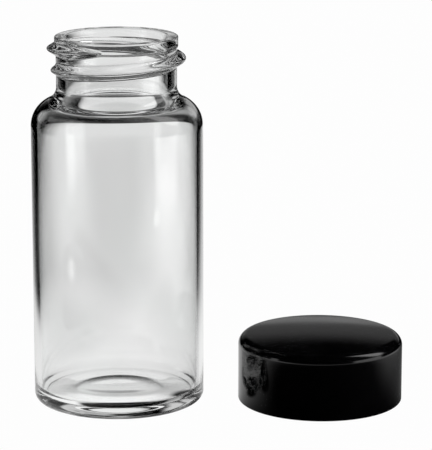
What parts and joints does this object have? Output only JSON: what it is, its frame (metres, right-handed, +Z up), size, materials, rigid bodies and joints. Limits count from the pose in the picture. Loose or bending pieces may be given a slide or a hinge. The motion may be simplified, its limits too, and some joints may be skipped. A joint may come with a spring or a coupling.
{
  "type": "glass sample vial",
  "caption": "Open clear glass sample vial with a screw neck, and its black screw cap with a sealing disc standing beside it.",
  "frame": {"origin": "middle of the vial's base, on the surface that the vial and the cap stand on", "axes": "+Z up along the vial's axis, out of its mouth; +X from the vial towards the cap that stands beside it; -Y towards the front"},
  "size_m": [0.0587, 0.0273, 0.0584],
  "materials": {
    "clear_glass": "clear, smooth, fire-polished lip",
    "black_plastic": "glossy moulded phenolic, smooth skirt, slightly domed top",
    "liner": "matt pale sealing disc"
  },
  "bodies": {
    "vial": {"glass_vial": "clear_glass"},
    "liner": {"cap_liner": "liner"},
    "cap": {"screw_cap": "black_plastic"}
  },
  "joints": [
    {"name": "cap_lift", "type": "slide", "parent": "vial", "child": "liner", "axis": [0, 0, 1], "range_m": [0, 0.065]},
    {"name": "cap_turn", "type": "hinge", "parent": "liner", "child": "cap", "pos_m": [0.0321, -0.0008, 0], "axis": [0, 0, 1], "range_deg": [0, 450]}
  ]
}
